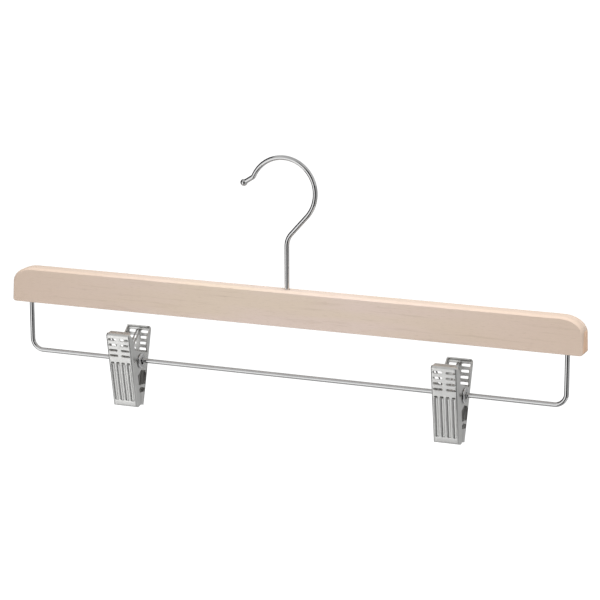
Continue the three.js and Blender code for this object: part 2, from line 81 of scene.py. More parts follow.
# Pieces are drawn in millimetres and scaled to metres when they are finished
MM = 0.001
X = Vector((1, 0, 0))
Y = Vector((0, 1, 0))
Z = Vector((0, 0, 1))

CLIPS = ("left_clip", "right_clip")
BAR_LOW, BAR_HIGH = (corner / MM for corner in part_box("wooden_bar"))
WIRE_LOW, WIRE_HIGH = (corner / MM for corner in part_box("trouser_wire"))

# Fineness of round shapes
WIRE_SIDES = 32
SPRING_SIDES = 16
BEND_STEP_DEG = 4
COIL_STEP_DEG = 9
ARC_STEP_DEG = 7.5
ROUND_SEGMENTS = 64
ROUND_OVER_STEPS = 4
ROLL_SEGMENTS = 8
BEND_SEGMENTS = 6
CUT_EDGE_SEGMENTS = 2
BALL_RINGS = 12
# How far the ball's last ring stays short of its pole, as a share of a ring
BALL_FLAT = 0.2
FULL_TURN = 2 * math.pi

# Vertices that lie closer are joined, while a piece is drawn and when a jaw is cut
MERGE_DISTANCE = 1e-4
WELD_DISTANCE = 0.03
# Edges that turn by more than this look sharp
SMOOTH_DEG = 32
# Edges of the sheet that turn by more than this are rounded
CUT_EDGE_DEG = 60
# Cosines for a face that looks along an axis, and for one that looks a little that way
ALONG = 0.99
PARTLY = 0.01

# Distances of the curtains and of the mats, as shares of the room's radius
CURTAIN_SHARE = 0.95
MAT_SHARE = 0.55


def linear(hex_colour):
    """An sRGB hex colour as linear red, green and blue."""
    channels = [int(hex_colour[i:i + 2], 16) / 255 for i in (0, 2, 4)]
    return [c / 12.92 if c <= 0.04045 else ((c + 0.055) / 1.055) ** 2.4 for c in channels]


def length(name, description, size_mm):
    """A length property whose default is given in millimetres."""
    return bpy.props.FloatProperty(
        name=name, description=description, default=size_mm * MM, unit="LENGTH", precision=5
    )


def angle(name, description, degrees):
    """An angle property whose default is given in degrees."""
    return bpy.props.FloatProperty(
        name=name, description=description, default=math.radians(degrees), unit="ROTATION", subtype="ANGLE"
    )


def colour(name, description, hex_colour):
    """A colour property whose default is an sRGB hex value."""
    return bpy.props.FloatVectorProperty(
        name=name, description=description, default=linear(hex_colour), subtype="COLOR", min=0, max=1
    )


def power(name, description, watts):
    """A lamp's power property."""
    return bpy.props.FloatProperty(name=name, description=description, default=watts, unit="POWER")


def count(name, description, number):
    """A whole number property."""
    return bpy.props.IntProperty(name=name, description=description, default=number)


class HangerBarSizes(bpy.types.PropertyGroup):
    """Rounding and holes of the wooden bar"""

    corner_length: length("Corner length", "Rounding of the upper ends along the bar", 14)
    corner_height: length("Corner height", "Height of that rounding", 9.6)
    bottom_corner: length("Bottom corner", "Radius of the lower ends, seen from the front", 2.2)
    edge: length("Upper edges", "How far the front is drawn back along the upper edges", 1.25)
    end_edge: length("End edges", "How far the front is drawn back at the ends", 1.5)
    lower_edge: length("Lower edges", "How far the front is drawn back along the lower edges", 0.2)
    edge_taper: length("Edge taper", "Height over which the lower edges' rounding grows to the ends'", 5)
    edge_crease: angle("Edge crease", "Angle at which the rounded edges meet the front", 35)
    bore_gap: length("Bore gap", "Play of a wire in its hole", 0.25)
    bore_relief: length("Bore relief", "Empty depth past the end of a wire", 1)


class HangerWireSizes(bpy.types.PropertyGroup):
    """Wire of the hook and of the trouser wire, and how it is bent"""

    diameter: length("Wire", "Diameter of both wires", 2.8)
    leg_depth: length("Leg depth", "Length of each leg inside the bar", 13)
    corner_radius: length("Corner radius", "Bend of the trouser wire's corners", 7)
    hook_radius: length("Hook radius", "Centreline of the hook's round part", 20.1)
    hook_offset: length("Hook offset", "Centre of the round part, from the swivel axis", -2.3)
    hook_rise: length("Hook rise", "Centre of the round part, above the bar", 57.5)
    neck_slope: angle("Neck slope", "Slope of the hook's straight neck", 48)
    knee_radius: length("Knee radius", "Bend between shank and neck", 11)
    tail_start: angle("Tail start", "Where the round part ends, from the bar's direction", 155)
    tail_kink: angle("Tail kink", "Outward bend of the tail", 33)
    kink_radius: length("Kink radius", "Radius of the tail's bend", 3)
    tail_length: length("Tail length", "Straight end of the tail, up to the ball's centre", 6.2)
    ball: length("Ball", "Diameter of the ball at the tip", 4.2)
    shank_depth: length("Shank depth", "Length of the hook's shank inside the bar", 16)
    thread_pitch: length("Thread pitch", "Spacing of the ridges on the shank", 1.5)
    thread_depth: length("Thread depth", "Depth of the grooves on the shank", 0.3)


class HangerJawSizes(bpy.types.PropertyGroup):
    """Pressed steel jaws: heights and spreads are taken from the eyelet's axis to the plates' outer faces"""

    left_lean: angle("Left lean", "How far the left clip hangs off the vertical", -2.2)
    right_lean: angle("Right lean", "How far the right clip hangs off the vertical", -4.3)
    sheet: length("Sheet", "Thickness of the steel", 0.8)
    gap: length("Gap", "Play between pieces that touch", 0.3)
    width: length("Width", "Width of a jaw", 16.2)
    bend: length("Bend", "Outer radius of the bends", 1.4)
    burr: length("Edge", "Rounding of the sheet's cut edges", 0.08)
    handle_rise: length("Handle rise", "Height of the handles", 18.4)
    handle_spread: length("Handle spread", "Handle's distance from the axis at its top", 15.4)
    lip_drop: length("Lip drop", "Depth of the gripping lips", 28.3)
    lip_spread: length("Lip spread", "Plate's distance from the axis at its lower end", 4.6)
    handle_lip: length("Handle lip", "Depth of the turned-in upper edge", 4.5)
    handle_roll: length("Handle roll", "Outer radius of that edge's bend", 2)
    lip_block: length("Lip block", "Height over which the jaws meet", 7.5)
    front_strip: length("Front strip", "Depth of the front jaw's flange below its ears", 4.9)
    rear_strip: length("Rear strip", "Depth of the rear jaw's flange below its ears", 1.4)
    tooth_height: length("Tooth", "Height of the flange's tooth", 1.2)
    tooth_place: length("Tooth place", "Tooth's lower side, above the plate's end", 10.8)
    ear_rim: length("Ear rim", "Metal round the pivot hole", 2.3)
    ear_foot: length("Ear foot", "Ear's lower corner, below the axis", 7.3)
    shoulder_depth: length("Shoulder depth", "Flange depth just above the ear", 6.4)
    shoulder_rise: length("Shoulder rise", "Height of the shoulder above the axis", 9)
    handle_flange: length("Handle flange", "Flange depth beside the slots", 5)
    handle_flange_drop: length("Handle flange drop", "Where the flange starts to narrow, below the top", 6)
    flange_top_drop: length("Flange top drop", "Where the flange meets the turned-in edge", 1.6)
    joggle_depth: length("Joggle depth", "Where the rear jaw's ears have stepped inwards", 4.3)
    joggle_length: length("Joggle length", "Length of that step", 1.2)
    joggle_half_height: length("Joggle half height", "Half of the height of that step", 5.6)
    slit_length: length("Slit length", "Slit in the front jaw's ear", 5)
    slit_width: length("Slit width", "Width of that slit", 0.8)
    slit_depth: length("Slit depth", "Slit's middle, from the plate's face", 4.8)
    slit_rise: length("Slit rise", "Slit's middle, above the axis", 2.6)
    slot_rows: count("Slot rows", "Rows of slots in a handle", 4)
    slot_height: length("Slot height", "Height of a slot", 1.5)
    slot_pitch: length("Slot pitch", "Spacing of the rows", 3.5)
    slot_top: length("Slot top", "Upper row's middle, below the plate's end", 3.7)
    slot_side: length("Slot side", "Metal beside the slots", 1.4)
    slot_strip: length("Slot strip", "Metal between the two columns", 2.2)
    grooves: count("Grooves", "Pressed grooves in a plate", 4)
    groove_pitch: length("Groove pitch", "Spacing of the grooves", 3.55)
    groove_width: length("Groove width", "Width of a groove at the face", 2.5)
    groove_depth: length("Groove depth", "Depth of a groove", 0.6)
    groove_shoulder: length("Groove shoulder", "Rounding along a groove", 0.4)
    groove_top: length("Groove top", "Upper end of the grooves, above the axis", 1.7)
    groove_bottom: length("Groove bottom", "Plain band below the grooves", 3.6)
    piercing_length: length("Piercing length", "Width of the hole above a groove", 2.2)
    piercing_height: length("Piercing height", "Height of that hole", 1.3)


class HangerPivotSizes(bpy.types.PropertyGroup):
    """Eyelet and torsion spring of a clip"""

    bore: length("Bore", "Inside diameter of the eyelet", 4.2)
    wall: length("Wall", "Thickness of the eyelet's tube", 0.5)
    head: length("Head", "Diameter of the rolled heads", 9.2)
    head_height: length("Head height", "Height of the rolled heads", 1.1)
    flare: length("Flare", "Rounding of the bore's mouth", 0.55)
    spring_wire: length("Spring wire", "Diameter of the spring's wire", 0.9)
    coil_gap: length("Coil gap", "Play of the coils round the eyelet", 0.5)
    turns: count("Turns", "Turns in each coil", 3)
    loop_width: length("Loop width", "Middle loop, between centrelines", 2)
    arm_rise: length("Arm rise", "Where the arms meet the plates, above the axis", 18)
    arm_standoff: length("Arm standoff", "Arm's centreline, from the plate's inner face", 1.6)
    tip_bend: length("Tip bend", "Radius of the bend at an arm's tip", 0.8)


class HangerColours(bpy.types.PropertyGroup):
    """Colours of the finishes"""

    wood: colour("Wood", "Ground colour of the bleached wood", "DCC9BD")
    wood_straw: colour("Straw wood", "Straw-coloured stretches of the wood", "DAC8B6")
    wood_line: colour("Wood lines", "Vessel lines along the grain", "B9A48E")
    wood_tip: colour("Wood near the ends", "Wood towards the ends of the bar", "D4BFAE")
    # Orange laid over the wood on the bar's end faces
    wood_end: colour("End grain", "Wood at the ends of the bar", "F8CCA8")
    bright_steel: colour("Bright steel", "Plated wire", "DADADA")
    sheet_steel: colour("Sheet steel", "Plated sheet of the clips", "F0F0EE")
    spring_steel: colour("Spring steel", "Plated spring wire", "CFCECC")
    floor: colour("Floor", "Studio floor", "F2F2F2")
    walls: colour("Walls", "Studio walls behind the hanger, as bright metal shows them", "A8A8A8")
    dome: colour("Dome", "Upper walls of the studio, as bright metal shows them", "CCCCCC")
    ceiling: colour("Ceiling", "Ceiling of the studio, as bright metal shows it", "BABABA")
    curtain: colour("Curtain", "Black curtains that draw dark lines on bright metal", "0E0E0E")
    mat: colour("Mat", "Mat before the hanger, as bright metal shows it", "CACACA")


class HangerStage(bpy.types.PropertyGroup):
    """Camera, lamps and floor"""

    azimuth: angle("Azimuth", "Camera's direction, from the front towards the right", 22.53)
    elevation: angle("Elevation", "Camera's height above the horizon", 13.315)
    roll: angle("Roll", "Camera's lean to the right", 0.1)
    camera_place: bpy.props.FloatVectorProperty(
        name="Camera place",
        description="Where the camera stands",
        default=(0.5047, -1.1955, 0.2247),
        subtype="TRANSLATION",
        unit="LENGTH",
    )
    lens: bpy.props.FloatProperty(
        name="Lens", description="Focal length", default=137.2, subtype="DISTANCE_CAMERA", unit="CAMERA"
    )
    floor_drop: length("Floor drop", "Floor, below the lowest point of the hanger", 1000)
    floor_size: length("Floor size", "Side of the square floor", 60000)
    room_radius: length("Room radius", "Distance of the studio's walls", 1800)
    key_level: power("Key", "Power of the overhead lamp", 24)
    side_level: power("Side", "Power of the right lamp", 4.5)
    front_level: power("Front", "Power of the front lamp", 6.8)
    back_level: power("Back", "Power of the rear lamp", 9)
    sky_level: bpy.props.FloatProperty(name="Sky", description="Light from all round", default=0.23)


def in_mm(group):
    """The values of a property group under the same names, with lengths in millimetres."""
    values = {}
    for prop in group.bl_rna.properties:
        if prop.identifier in ("rna_type", "name"):
            continue
        value = getattr(group, prop.identifier)
        values[prop.identifier] = value / MM if prop.unit == "LENGTH" else value
    return SimpleNamespace(**values)


# Drawing with bmesh operators


class Pen:
    """Draws an outline of straight edges and arcs."""

    def __init__(self, start):
        self.bm = bmesh.new()
        self.end = self.bm.verts.new(start)

    def line(self, *points):
        """Draws straight edges on through some points."""
        for point in points:
            self.end = bmesh.ops.extrude_vert_indiv(self.bm, verts=[self.end])["verts"][0]
            self.end.co = point

    def arc(self, centre, axis, degrees):
        """Draws an arc on round a centre."""
        turn = math.radians(degrees)
        steps = max(2, math.ceil(abs(degrees) / ARC_STEP_DEG))
        drawn = bmesh.ops.spin(
            self.bm, geom=[self.end], cent=centre, axis=axis, angle=turn, steps=steps, use_duplicate=False
        )
        self.end = drawn["geom_last"][0]


def verts_in(geom):
    """The vertices among some geometry."""
    return [g for g in geom if isinstance(g, bmesh.types.BMVert)]


def face_in(geom):
    """The first face among some geometry."""
    return next(g for g in geom if isinstance(g, bmesh.types.BMFace))


def weld(bm, distance=MERGE_DISTANCE):
    """Joins the vertices of bm that lie together."""
    bmesh.ops.remove_doubles(bm, verts=bm.verts[:], dist=distance)


def outward(bm):
    """Turns all faces of bm outwards, and gives it back."""
    bmesh.ops.recalc_face_normals(bm, faces=bm.faces[:])
    return bm


def sweep_round(bm, centre, axis, turn, steps):
    """Sweeps the outline that bm holds round an axis. A full turn closes on its start."""
    bmesh.ops.spin(
        bm,
        geom=bm.verts[:] + bm.edges[:],
        cent=centre,
        axis=axis,
        angle=turn,
        steps=steps,
        use_merge=turn == FULL_TURN,
        use_duplicate=False,
    )


def fill_and_extrude(bm, push):
    """Closes the outline that bm holds, fills it and pushes it out to a solid."""
    ends = [v for v in bm.verts if len(v.link_edges) == 1]
    if ends:
        bm.edges.new(ends)
    weld(bm)
    bmesh.ops.contextual_create(bm, geom=bm.edges[:])
    pushed = bmesh.ops.extrude_face_region(bm, geom=bm.faces[:])["geom"]
    bmesh.ops.translate(bm, verts=verts_in(pushed), vec=push)
    return outward(bm)


def rounded_slot(centre, along, across, size, push):
    """A long hole's solid: round ends, size = (length, height), pushed out along push."""
    r = size[1] / 2
    reach = along * (size[0] / 2 - r)
    axis = along.cross(across)
    pen = Pen(centre - reach - across * r)
    pen.line(centre + reach - across * r)
    pen.arc(centre + reach, axis, 180)
    pen.line(centre - reach + across * r)
    pen.arc(centre - reach, axis, 180)
    return fill_and_extrude(pen.bm, push)


def facing(point, heading):
    """A place at a point, whose Z axis looks along a heading."""
    return Matrix.Translation(point) @ heading.to_track_quat("Z", "Y").to_matrix().to_4x4()


def rod(radius, start, end):
    """A closed cylinder from start to end."""
    bm = bmesh.new()
    run = end - start
    bmesh.ops.create_cone(
        bm,
        cap_ends=True,
        segments=ROUND_SEGMENTS,
        radius1=radius,
        radius2=radius,
        depth=run.length,
        matrix=facing((start + end) / 2, run),
    )
    return bm


def block(low, high):
    """A box between two corners."""
    bm = bmesh.new()
    low, high = Vector(low), Vector(high)
    size = Matrix.Diagonal((*(high - low), 1))
    bmesh.ops.create_cube(bm, size=1, matrix=Matrix.Translation((low + high) / 2) @ size)
    return bm


def turned(bm, axis):
    """Turns the outline that bm holds once round an axis through the origin."""
    sweep_round(bm, (0, 0, 0), axis, FULL_TURN, ROUND_SEGMENTS)
    weld(bm)
    return outward(bm)


def together(meshes):
    """Several meshes as one."""
    whole = bmesh.new()
    for bm in meshes:
        mesh = bpy.data.meshes.new("passing")
        bm.to_mesh(mesh)
        bm.free()
        whole.from_mesh(mesh)
        bpy.data.meshes.remove(mesh)
    return whole


def new_object(name, data):
    """An object in the scene."""
    obj = bpy.data.objects.new(name, data)
    bpy.context.scene.collection.objects.link(obj)
    return obj


def mesh_object(name, bm):
    """An object in the scene with bm's mesh, and bm is used up."""
    mesh = bpy.data.meshes.new(name)
    bm.to_mesh(mesh)
    bm.free()
    return new_object(name, mesh)


def combine(bm, other, operation):
    """Joins two closed meshes, keeps what they share, or cuts the second out of the first."""
    body = mesh_object("body", bm)
    tool = mesh_object("tool", other)
    cut = body.modifiers.new("combine", "BOOLEAN")
    cut.object = tool
    cut.operation = operation
    cut.solver = "EXACT"
    bpy.context.view_layer.update()
    mesh = bpy.data.meshes.new_from_object(body.evaluated_get(bpy.context.evaluated_depsgraph_get()))
    whole = bmesh.new()
    whole.from_mesh(mesh)
    # Removing a mesh also removes the object that shows it
    for old in (body.data, tool.data, mesh):
        bpy.data.meshes.remove(old)
    return whole


class WireBender:
    """A round wire that is drawn on from its end face, straight or bent, as on a wire bending bench."""

    def __init__(self, start, heading, diameter, sides):
        self.bm = bmesh.new()
        self.at = Vector(start)
        self.heading = heading.normalized()
        self.diameter = diameter
        place = facing(self.at, self.heading)
        bmesh.ops.create_circle(self.bm, cap_ends=True, radius=diameter / 2, segments=sides, matrix=place)
        self.end = self.bm.faces[:][0]

    def run(self, distance, diameter=None):
        """Draws the wire straight on, and to a new diameter if one is given."""
        pushed = bmesh.ops.extrude_face_region(self.bm, geom=[self.end])["geom"]
        self.end = face_in(pushed)
        bmesh.ops.translate(self.bm, verts=self.end.verts[:], vec=self.heading * distance)
        self.at = self.at + self.heading * distance
        if diameter:
            grow = Matrix.Diagonal((*[diameter / self.diameter] * 3, 1))
            centred = Matrix.Translation(self.at) @ grow @ Matrix.Translation(-self.at)
            bmesh.ops.transform(self.bm, matrix=centred, verts=self.end.verts[:])
            self.diameter = diameter

    def turn(self, degrees, radius, axis, advance=0, step=BEND_STEP_DEG):
        """Bends the wire round an axis, and shifts it along that axis by advance in all."""
        steps = math.ceil(degrees / step)
        centre = self.at + axis.cross(self.heading).normalized() * radius
        spun = bmesh.ops.spin(
            self.bm,
            geom=[self.end],
            cent=centre,
            axis=axis,
            dvec=axis * (advance / steps),
            angle=math.radians(degrees),
            steps=steps,
            use_duplicate=False,
        )
        self.end = face_in(spun["geom_last"])
        turn = Matrix.Rotation(math.radians(degrees), 3, axis)
        self.at = centre + turn @ (self.at - centre) + axis * advance
        self.heading = turn @ self.heading

    def finished(self):
        """The closed wire, without the end faces that later runs covered."""
        covered = [f for f in self.bm.faces if all(len(e.link_faces) > 2 for e in f.edges)]
        bmesh.ops.delete(self.bm, geom=covered, context="FACES_ONLY")
        return outward(self.bm)


def add_piece(name, bm, place, material, node):
    """A finished piece from a mesh in millimetres, put in its place. It stands for a node of the model."""
    bmesh.ops.transform(bm, matrix=Matrix.Scale(MM, 4) @ place, verts=bm.verts[:])
    obj = mesh_object(name, bm)
    obj.data.shade_smooth()
    obj.data.set_sharp_from_angle(angle=math.radians(SMOOTH_DEG))
    obj.data.materials.append(material)
    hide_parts(node)
    return obj


def clip_place(clip, sizes):
    """Where a clip hangs: the eyelet's axis is the X axis of its own space."""
    joint = next(j for j in frame["joints"] if j["name"] == f"{clip}_open")
    lean = sizes.left_lean if clip == "left_clip" else sizes.right_lean
    return Matrix.Translation(Vector(joint["pos_m"]) / MM) @ Matrix.Rotation(lean, 4, "X")


# Materials


def add_node(tree, kind, inputs=None, **settings):
    """A node with its settings, and its inputs set or linked by name or number."""
    made = tree.nodes.new(kind)
    for key, value in settings.items():
        setattr(made, key, value)
    for key, value in (inputs or {}).items():
        if isinstance(value, bpy.types.NodeSocket):
            tree.links.new(value, made.inputs[key])
        else:
            made.inputs[key].default_value = value
    return made


def new_material(name):
    """An empty node material and its tree."""
    material = bpy.data.materials.new(name)
    material.use_nodes = True
    material.node_tree.nodes.clear()
    return material, material.node_tree


def opaque(rgb):
    """A colour with full alpha, as colour inputs take it."""
    return (*rgb, 1)


def noise(tree, place, sizes_mm, detail):
    """Noise whose features have these sizes along X, Y and Z."""
    scale = [1 / (size * MM) for size in sizes_mm]
    scaled = add_node(tree, "ShaderNodeMapping", {"Vector": place, "Scale": scale})
    inputs = {"Vector": scaled.outputs[0], "Scale": 1, "Detail": detail}
    return add_node(tree, "ShaderNodeTexNoise", inputs).outputs[0]


def spread(tree, value, span, to=(0, 1), kind="LINEAR"):
    """A value brought from one span to another, and held at its ends."""
    inputs = {0: value, 1: span[0], 2: span[1], 3: to[0], 4: to[1]}
    return add_node(tree, "ShaderNodeMapRange", inputs, interpolation_type=kind).outputs[0]


# Inputs of the colour mixing node
FACTOR = 0
COLOUR_A = 6
COLOUR_B = 7


def layered(tree, share, base, over):
    """One colour laid over another by a share."""
    inputs = {FACTOR: share, COLOUR_A: base, COLOUR_B: opaque(over)}
    return add_node(tree, "ShaderNodeMix", inputs, data_type="RGBA").outputs[2]


def bleached_beech(colours):
    """Beech, planed, bleached and sealed with a matt lacquer."""
    # A pale pinkish ground that drifts to straw along the bar and is warmer near its ends, thin darker
    # vessel lines with the grain, fine flecks, and an orange tint on the bar's end faces
    material, tree = new_material("bleached_beech")
    place = add_node(tree, "ShaderNodeTexCoord").outputs["Object"]
    along = add_node(tree, "ShaderNodeSeparateXYZ", {0: place}).outputs["X"]
    from_middle = add_node(tree, "ShaderNodeMath", {0: along}, operation="ABSOLUTE").outputs[0]
    end = BAR_HIGH.x * MM
    end_span = (end - 0.5 * MM, end - 0.1 * MM)
    drift = noise(tree, place, (80, 10, 10), 2)
    line = noise(tree, place, (32, 1.6, 1.6), 3)
    # Beech flecks are about 0.1 mm wide, and are drawn 0.35 mm wide to show
    fleck = noise(tree, place, (4, 0.35, 0.35), 2)
    tone = opaque(colours.wood)
    for share, over in (
        (spread(tree, drift, (0.38, 0.62)), colours.wood_straw),
        (spread(tree, from_middle, (end / 4, end)), colours.wood_tip),
        (spread(tree, line, (0.58, 0.8), (0, 0.5)), colours.wood_line),
        (spread(tree, fleck, (0.55, 0.8), (0, 0.4)), colours.wood_line),
        (spread(tree, from_middle, end_span, (0, 0.8), "SMOOTHSTEP"), colours.wood_end),
    ):
        tone = layered(tree, share, tone, over)
    pores = {"Strength": 0.25, "Distance": 0.05 * MM, "Height": fleck}
    wood = add_node(
        tree,
        "ShaderNodeBsdfPrincipled",
        {
            "Base Color": tone,
            "Roughness": spread(tree, line, (0.3, 0.7), (0.46, 0.6)),
            "Normal": add_node(tree, "ShaderNodeBump", pores, invert=True).outputs[0],
            "IOR": 1.5,
        },
    )
    add_node(tree, "ShaderNodeOutputMaterial", {"Surface": wood.outputs[0]})
    return material


def plated_metal(name, base, grain_mm, roughness, bump_mm):
    """A plated steel finish: roughness runs between two values in grains of a given size."""
    material, tree = new_material(name)
    place = add_node(tree, "ShaderNodeTexCoord").outputs["Object"]
    grain = noise(tree, place, grain_mm, 4)
    # Handling leaves faint cloudy patches, a few millimetres wide and 7% darker
    cloud = spread(tree, noise(tree, place, (6, 6, 6), 2), (0.4, 0.7))
    clouded = [0.93 * c for c in base]
    marks = {"Strength": 0.3, "Distance": bump_mm * MM, "Height": grain}
    metal = add_node(
        tree,
        "ShaderNodeBsdfPrincipled",
        {
            "Base Color": layered(tree, cloud, opaque(base), clouded),
            "Metallic": 1,
            "Roughness": spread(tree, grain, (0.3, 0.7), roughness),
            "Normal": add_node(tree, "ShaderNodeBump", marks).outputs[0],
        },
    )
    add_node(tree, "ShaderNodeOutputMaterial", {"Surface": metal.outputs[0]})
    return material


def bright_plated_wire(colours):
    """Drawn steel wire with a bright nickel and chrome plate."""
    # Mirror bright, so it shows the studio as lines along the wire, a little softened by the drawn surface
    return plated_metal("bright_plated_wire", colours.bright_steel, (0.8, 0.8, 0.8), (0.04, 0.08), 0.002)


def satin_plated_sheet(colours):
    """Rolled steel sheet, pressed, tumbled and nickel plated."""
    # A soft grey sheen, with rolling marks down the plate that are drawn 0.3 mm wide to show
    return plated_metal("satin_plated_sheet", colours.sheet_steel, (0.3, 0.3, 9), (0.32, 0.42), 0.004)


def plated_spring_wire(colours):
    """Hard drawn spring wire, nickel plated."""
    # Brighter than the sheet, as it is smoother
    return plated_metal("plated_spring_wire", colours.spring_steel, (0.6, 0.6, 0.6), (0.14, 0.24), 0.002)


def finish_of(make, context):
    """A finish of the hanger, made when the first piece asks for it. It is named like its function."""
    return bpy.data.materials.get(make.__name__) or make(context.scene.hanger_colours)


# Pieces


def smoothstep(share):
    """A smooth passage from 0 to 1."""
    share = min(1, max(0, share))
    return share * share * (3 - 2 * share)


def round_over(bm, flat, crease, width):
    """Rounds the rim of a flat face over to the sides, and leaves a crease round what stays flat.

    crease is the angle there, and width gives how far the flat draws back at a point of its rim.
    """
    out = flat.normal.copy()
    rim = []
    for vert in flat.verts:
        sides = sum((face.normal for face in vert.link_faces if face is not flat), Vector())
        rim.append((vert.co.copy(), sides.normalized(), width(vert.co) / (1 - math.sin(crease))))
    for i in range(ROUND_OVER_STEPS + 1):
        if i > 0:
            drawn = bmesh.ops.extrude_face_region(bm, geom=[flat])["geom"]
            bmesh.ops.delete(bm, geom=[flat], context="FACES_ONLY")
            flat = face_in(drawn)
        turn = math.pi / 2 + (crease - math.pi / 2) * i / ROUND_OVER_STEPS
        for vert, (point, side, radius) in zip(flat.verts, rim):
            back = out * (radius * (math.cos(crease) - math.cos(turn)))
            vert.co = point - back - side * (radius * (1 - math.sin(turn)))


def rounded_bar(sizes):
    """The bar: its front view, pushed to its depth, with its front and back edges rounded over."""
    low, high = BAR_LOW.z, BAR_HIGH.z
    end, front = BAR_HIGH.x, BAR_LOW.y
    corner = sizes.corner_height
    pen = Pen((0, front, low))
    pen.line((end - sizes.bottom_corner, front, low))
    pen.arc((end - sizes.bottom_corner, front, low + sizes.bottom_corner), Y, -90)
    pen.line((end, front, high - corner))
    pen.arc((end - corner, front, high - corner), Y, -90)
    bm = pen.bm
    upper = [v for v in bm.verts if v.co.z > high - corner + MERGE_DISTANCE]
    stretch = (sizes.corner_length / corner, 1, 1)
    bmesh.ops.scale(bm, vec=stretch, space=Matrix.Translation((-end, 0, 0)), verts=upper)
    pen.line((0, front, high))
    bmesh.ops.mirror(bm, geom=bm.verts[:] + bm.edges[:], axis="X", merge_dist=MERGE_DISTANCE)
    bm = fill_and_extrude(bm, Y * (BAR_HIGH.y - front))

    def width(point):
        above_low = smoothstep((point.z - low) / sizes.edge_taper)
        above_corner = smoothstep((point.z - high + corner) / corner)
        drawn = sizes.lower_edge + (sizes.end_edge - sizes.lower_edge) * above_low
        return drawn + (sizes.edge - sizes.end_edge) * above_corner

    for face in [f for f in bm.faces if abs(f.normal.y) > ALONG]:
        round_over(bm, face, sizes.edge_crease, width)
    return outward(bm)


class HANGER_OT_wooden_bar(bpy.types.Operator):
    """Makes the wooden bar with its rounded ends and its holes for the wires"""

    bl_idname = "hanger.wooden_bar"
    bl_label = "Wooden bar"

    def execute(self, context):
        sizes = in_mm(context.scene.hanger_bar)
        wires = in_mm(context.scene.hanger_wires)
        bore = wires.diameter / 2 + sizes.bore_gap
        bar = rounded_bar(sizes)
        past = Z * bore
        shank_end = Z * (BAR_HIGH.z - wires.shank_depth - sizes.bore_relief)
        bores = [rod(bore, shank_end, Z * BAR_HIGH.z + past)]
        for leg in (WIRE_LOW.x + wires.diameter / 2, WIRE_HIGH.x - wires.diameter / 2):
            mouth = X * leg + Z * BAR_LOW.z
            bores.append(rod(bore, mouth - past, mouth + Z * (wires.leg_depth + sizes.bore_relief)))
        bar = combine(bar, together(bores), "DIFFERENCE")
        wood = finish_of(bleached_beech, context)
        piece = add_piece("bleached_bar", bar, Matrix(), wood, "wooden_bar")
        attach(piece, "bar")
        return {"FINISHED"}


class HANGER_OT_swivel_hook(bpy.types.Operator):
    """Bends the hook from its threaded shank up to the ball at its tip"""

    bl_idname = "hanger.swivel_hook"
    bl_label = "Swivel hook"

    def execute(self, context):
        s = in_mm(context.scene.hanger_wires)
        centre_z = BAR_HIGH.z + s.hook_rise
        knee_turn = math.pi / 2 - s.neck_slope
        knee_reach = s.knee_radius * math.tan(knee_turn / 2)
        neck_end = Vector((s.hook_offset + s.hook_radius * math.sin(s.neck_slope), 0, 0))
        neck_end.z = centre_z - s.hook_radius * math.cos(s.neck_slope)
        neck = neck_end.x / math.cos(s.neck_slope)
        knee_z = neck_end.z - neck * math.sin(s.neck_slope)
        root = s.diameter - 2 * s.thread_depth
        wire = WireBender(Z * (BAR_HIGH.z - s.shank_depth), Z, root, WIRE_SIDES)
        for _ in range(int((s.shank_depth - s.diameter) / s.thread_pitch)):
            wire.run(s.thread_pitch / 2, s.diameter)
            wire.run(s.thread_pitch / 2, root)
        wire.run(s.thread_depth, s.diameter)
        wire.run(knee_z - knee_reach - wire.at.z)
        wire.turn(math.degrees(knee_turn), s.knee_radius, Y)
        wire.run(neck - knee_reach)
        wire.turn(math.degrees(s.tail_start + math.pi / 2 - s.neck_slope), s.hook_radius, -Y)
        wire.turn(math.degrees(s.tail_kink), s.kink_radius, Y)
        ball = s.ball / 2
        first = math.asin(s.diameter / s.ball)
        wire.run(s.tail_length - ball * math.cos(first))
        polar = [first + (math.pi - first) * i / (BALL_RINGS + BALL_FLAT) for i in range(BALL_RINGS + 1)]
        for before, after in zip(polar, polar[1:]):
            wire.run(ball * (math.cos(before) - math.cos(after)), s.ball * math.sin(after))
        bright = finish_of(bright_plated_wire, context)
        piece = add_piece("bright_hook", wire.finished(), Matrix(), bright, "swivel_hook")
        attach(piece, "hook")
        return {"FINISHED"}


class HANGER_OT_trouser_wire(bpy.types.Operator):
    """Bends the wire that hangs below the bar, from one leg to the other"""

    bl_idname = "hanger.trouser_wire"
    bl_label = "Trouser wire"

    def execute(self, context):
        s = in_mm(context.scene.hanger_wires)
        half = s.diameter / 2
        leg = WIRE_HIGH.z - WIRE_LOW.z - half - s.corner_radius
        lower = WIRE_HIGH.x - WIRE_LOW.x - s.diameter - 2 * s.corner_radius
        wire = WireBender((WIRE_LOW.x + half, 0, WIRE_HIGH.z), -Z, s.diameter, WIRE_SIDES)
        wire.run(leg)
        wire.turn(90, s.corner_radius, -Y)
        wire.run(lower)
        wire.turn(90, s.corner_radius, -Y)
        wire.run(leg)
        bright = finish_of(bright_plated_wire, context)
        piece = add_piece(
            "bright_trouser_wire", wire.finished(), Matrix(), bright, "trouser_wire"
        )
        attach(piece, "bar")
        return {"FINISHED"}


